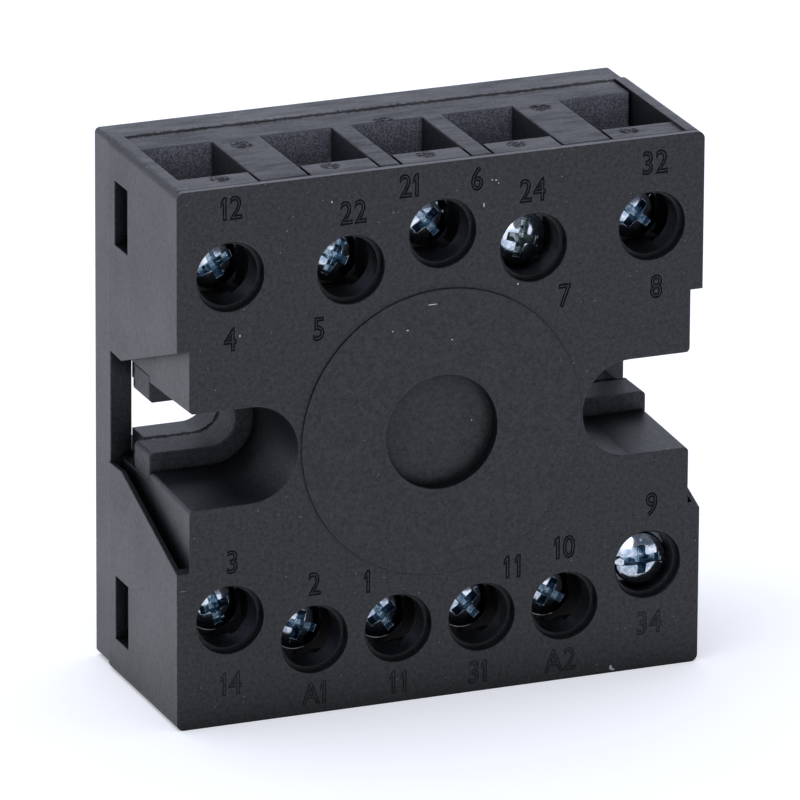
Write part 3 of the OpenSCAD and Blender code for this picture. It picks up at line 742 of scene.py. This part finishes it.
def dome_depth(radius):
    """How far the undented dome has dropped at a distance from its axis."""
    return DOME_R - math.sqrt(DOME_R ** 2 - radius ** 2)


def nicks(chance, count):
    """Small slanted bites where a blade slipped out of the recess, near the arms' four sides."""
    made = bmesh.new()
    for _ in range(count):
        arm = chance.choice((0, math.pi / 2, math.pi, 1.5 * math.pi))
        angle = arm + chance.uniform(-0.35, 0.35)
        radius = chance.uniform(*NICK_RADII) * MM
        size = chance.uniform(*NICK_SIZES) * MM
        drop = NICK_SINK + radius ** 2 / 2 / DOME_R
        turned = (Matrix.Translation((radius * math.cos(angle), drop, radius * math.sin(angle)))
                  @ Matrix.Rotation(chance.uniform(0, 3), 4, "Y")
                  @ Matrix.Rotation(chance.uniform(0.3, 1.2), 4, "X")
                  @ Matrix.Diagonal((chance.uniform(*NICK_STRETCH) * size, size, size, 1)))
        bmesh.ops.create_cube(made, size=1, matrix=turned)
    return made


def cross_punch(chance):
    """Punch for the cross: two tapered arms and a round heart in one mesh."""
    cross = tapered(chance, CROSS_REACH, SLOT_WIDTH, CROSS_DEPTH, narrow=0.62, shorten=0.45)
    second = tapered(chance, CROSS_REACH, SLOT_WIDTH, CROSS_DEPTH, narrow=0.62, shorten=0.45)
    heart = revolved([(0, -ABOVE), (1.4 * CROSS_HEART, -ABOVE), (0.5 * CROSS_HEART, CROSS_DEPTH),
                      (0, CROSS_DEPTH)], HEART_SIDES)
    for shape, turn in ((second, math.pi / 2), (heart, 0)):
        part = bpy.data.meshes.new("part")
        shape.to_mesh(part)
        shape.free()
        part.transform(Matrix.Rotation(turn, 4, "Y"))
        cross.from_mesh(part)
        bpy.data.meshes.remove(part)
    return cross


def struck_head(k):
    """Head of one screw: a dented dome with its recess pressed in and bitten."""
    chance = random.Random("screw " + k)
    outline = [(0, 0)]
    for i in range(1, DOME_STEPS + 1):
        r = (HEAD_R - RIM) * i / DOME_STEPS
        outline.append((r, dome_depth(r)))
    rim_y = outline[-1][1]
    for i in range(1, RIM_STEPS + 1):
        a = math.pi / 2 * i / RIM_STEPS
        outline.append((HEAD_R - RIM + RIM * math.sin(a),
                        rim_y + RIM * (1 - math.cos(a)) * RIM_STRETCH))
    outline += [(HEAD_R, HEAD_HEIGHT - SHOULDER), (HEAD_R - SHOULDER, HEAD_HEIGHT),
                (SHANK_R, HEAD_HEIGHT), (ROOT_R, HEAD_HEIGHT + NECK_CONE),
                (ROOT_R, HEAD_HEIGHT + NECK_LENGTH), (0, HEAD_HEIGHT + NECK_LENGTH)]
    blank = revolved(outline, HEAD_SIDES)
    shift = Vector([chance.uniform(0, 50) for _ in range(3)])
    for vert in blank.verts:
        if vert.co.y < rim_y + 0.05 * MM:
            dent = noise.noise(vert.co / DENT_SIZE + shift)
            vert.co.y += DENT * (1 + dent) * min(1, vert.co.xz.length / (0.4 * MM))
    head = as_object(blank, "head")
    cross = cross_punch(chance)
    slot = tapered(chance, SLOT_REACH, SLOT_WIDTH, SLOT_DEPTH, narrow=0.85, shorten=0.8)
    punches = [as_object(slot, "slot_punch"), as_object(cross, "cross_punch"),
               as_object(nicks(chance, NICKS), "nicks")]
    for punch in punches:
        cut = head.modifiers.new(punch.name, "BOOLEAN")
        cut.operation = "DIFFERENCE"
        cut.solver = "EXACT"
        cut.use_self = True
        cut.object = punch
    bpy.context.view_layer.update()
    made = bmesh.new()
    made.from_mesh(bpy.data.meshes.new_from_object(
        head.evaluated_get(bpy.context.evaluated_depsgraph_get())))
    for thing in [head] + punches:
        bpy.data.objects.remove(thing)
    # The faces the punches left take the second material
    for face in made.faces:
        centre = face.calc_center_median()
        radius = centre.xz.length
        below = centre.y - dome_depth(min(radius, HEAD_R))
        inside = radius < HEAD_R - 0.05 * MM and centre.y < HEAD_HEIGHT - 0.2 * MM
        face.material_index = int(inside and below > PRESSED)
    return made


def wind_thread(made):
    """Adds the thread, a grid wound round the shank whose height follows the turn."""
    rows = int(SHANK_LENGTH / PITCH * THREAD_STEPS)
    rings = []
    for j in range(rows + 1):
        y = HEAD_HEIGHT + RUNOUT + (SHANK_LENGTH - RUNOUT) * j / rows
        tip = min(1, (HEAD_HEIGHT + SHANK_LENGTH - y) / TIP_LENGTH)
        ring = []
        for i in range(THREAD_SIDES):
            phase = (y / PITCH + i / THREAD_SIDES) % 1
            height = max(0, 1 - abs(phase - 0.5) * FLANK)
            r = ROOT_R + (SHANK_R - ROOT_R) * height * min(1, tip * 1.5)
            r *= TIP_SLIM + (1 - TIP_SLIM) * tip
            a = 2 * math.pi * i / THREAD_SIDES
            ring.append(made.verts.new((r * math.cos(a), y, r * math.sin(a))))
        rings.append(ring)
    for low, high in zip(rings, rings[1:]):
        for i in range(THREAD_SIDES):
            j = (i + 1) % THREAD_SIDES
            made.faces.new((low[i], low[j], high[j], high[i]))
    made.faces.new(rings[0])
    made.faces.new(list(reversed(rings[-1])))


# Corners of the burr in millimetres from the head's middle: to the left, inward and upward
BURR = [(1.5, 0.1, 0.1), (1.5, 0.12, -0.3), (1.9, 0.05, 0.38), (1.9, 0.1, -0.3),
        (2.45, 0.3, 0.3), (2.5, 0.25, 0), (2.4, 0.35, -0.28), (1.8, 0.5, 0.1)]


def burr(x, y, z):
    """Curl of zinc torn out of the left end of a slot, in the row frame."""
    made = bmesh.new()
    for left, inward, upward in BURR:
        made.verts.new((x - left * MM, y + inward * MM, z + upward * MM))
    bmesh.ops.convex_hull(made, input=made.verts)
    mesh = bpy.data.meshes.new("burr")
    made.to_mesh(mesh)
    made.free()
    return mesh


screw_zinc = zinc_plating("zinc_plated_screw", "#d6dbe0", "#94a6ba", roughness=0.08,
                          dent_size=0.6 * MM, relief=0.008 * MM, edge_radius=0.05 * MM)
recess_zinc = zinc_plating("zinc_plated_recess", "#a5b9c7", "#4b6b82", roughness=0.22,
                           dent_size=0.12 * MM, relief=0.03 * MM, edge_radius=0.05 * MM)
grimy_zinc = zinc_plating("zinc_plated_recess_grimy", "#a9b5bb", "#5c685f", roughness=0.26,
                          dent_size=0.12 * MM, relief=0.03 * MM, edge_radius=0.05 * MM)
SCREW_CRISP_ANGLE = 30
for k in terminals:
    low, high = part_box("screw_" + k)
    middle_x, middle_z = (low.x + high.x) / 2, (low.z + high.z) / 2
    made = struck_head(k)
    wind_thread(made)
    bmesh.ops.recalc_face_normals(made, faces=made.faces)
    mesh = bpy.data.meshes.new("terminal_screw_" + k)
    made.to_mesh(mesh)
    made.free()
    mesh.materials.append(screw_zinc)
    mesh.materials.append(grimy_zinc if k == "24" else recess_zinc)
    mesh.shade_smooth()
    mesh.transform(Matrix.Rotation(math.radians(RECESS_TURN[k]), 4, "Y"))
    mesh.transform(Matrix.Translation((middle_x, low.y, middle_z)))
    if k == "34":
        made = bmesh.new()
        made.from_mesh(mesh)
        made.from_mesh(burr(middle_x, low.y, middle_z))
        made.to_mesh(mesh)
        made.free()
    screw = bpy.data.objects.new("terminal_screw_" + k, mesh)
    scene.collection.objects.link(screw)
    split = screw.modifiers.new("crisp", "EDGE_SPLIT")
    split.split_angle = math.radians(SCREW_CRISP_ANGLE)
    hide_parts("screw_" + k)
    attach(screw, "screw_" + k)
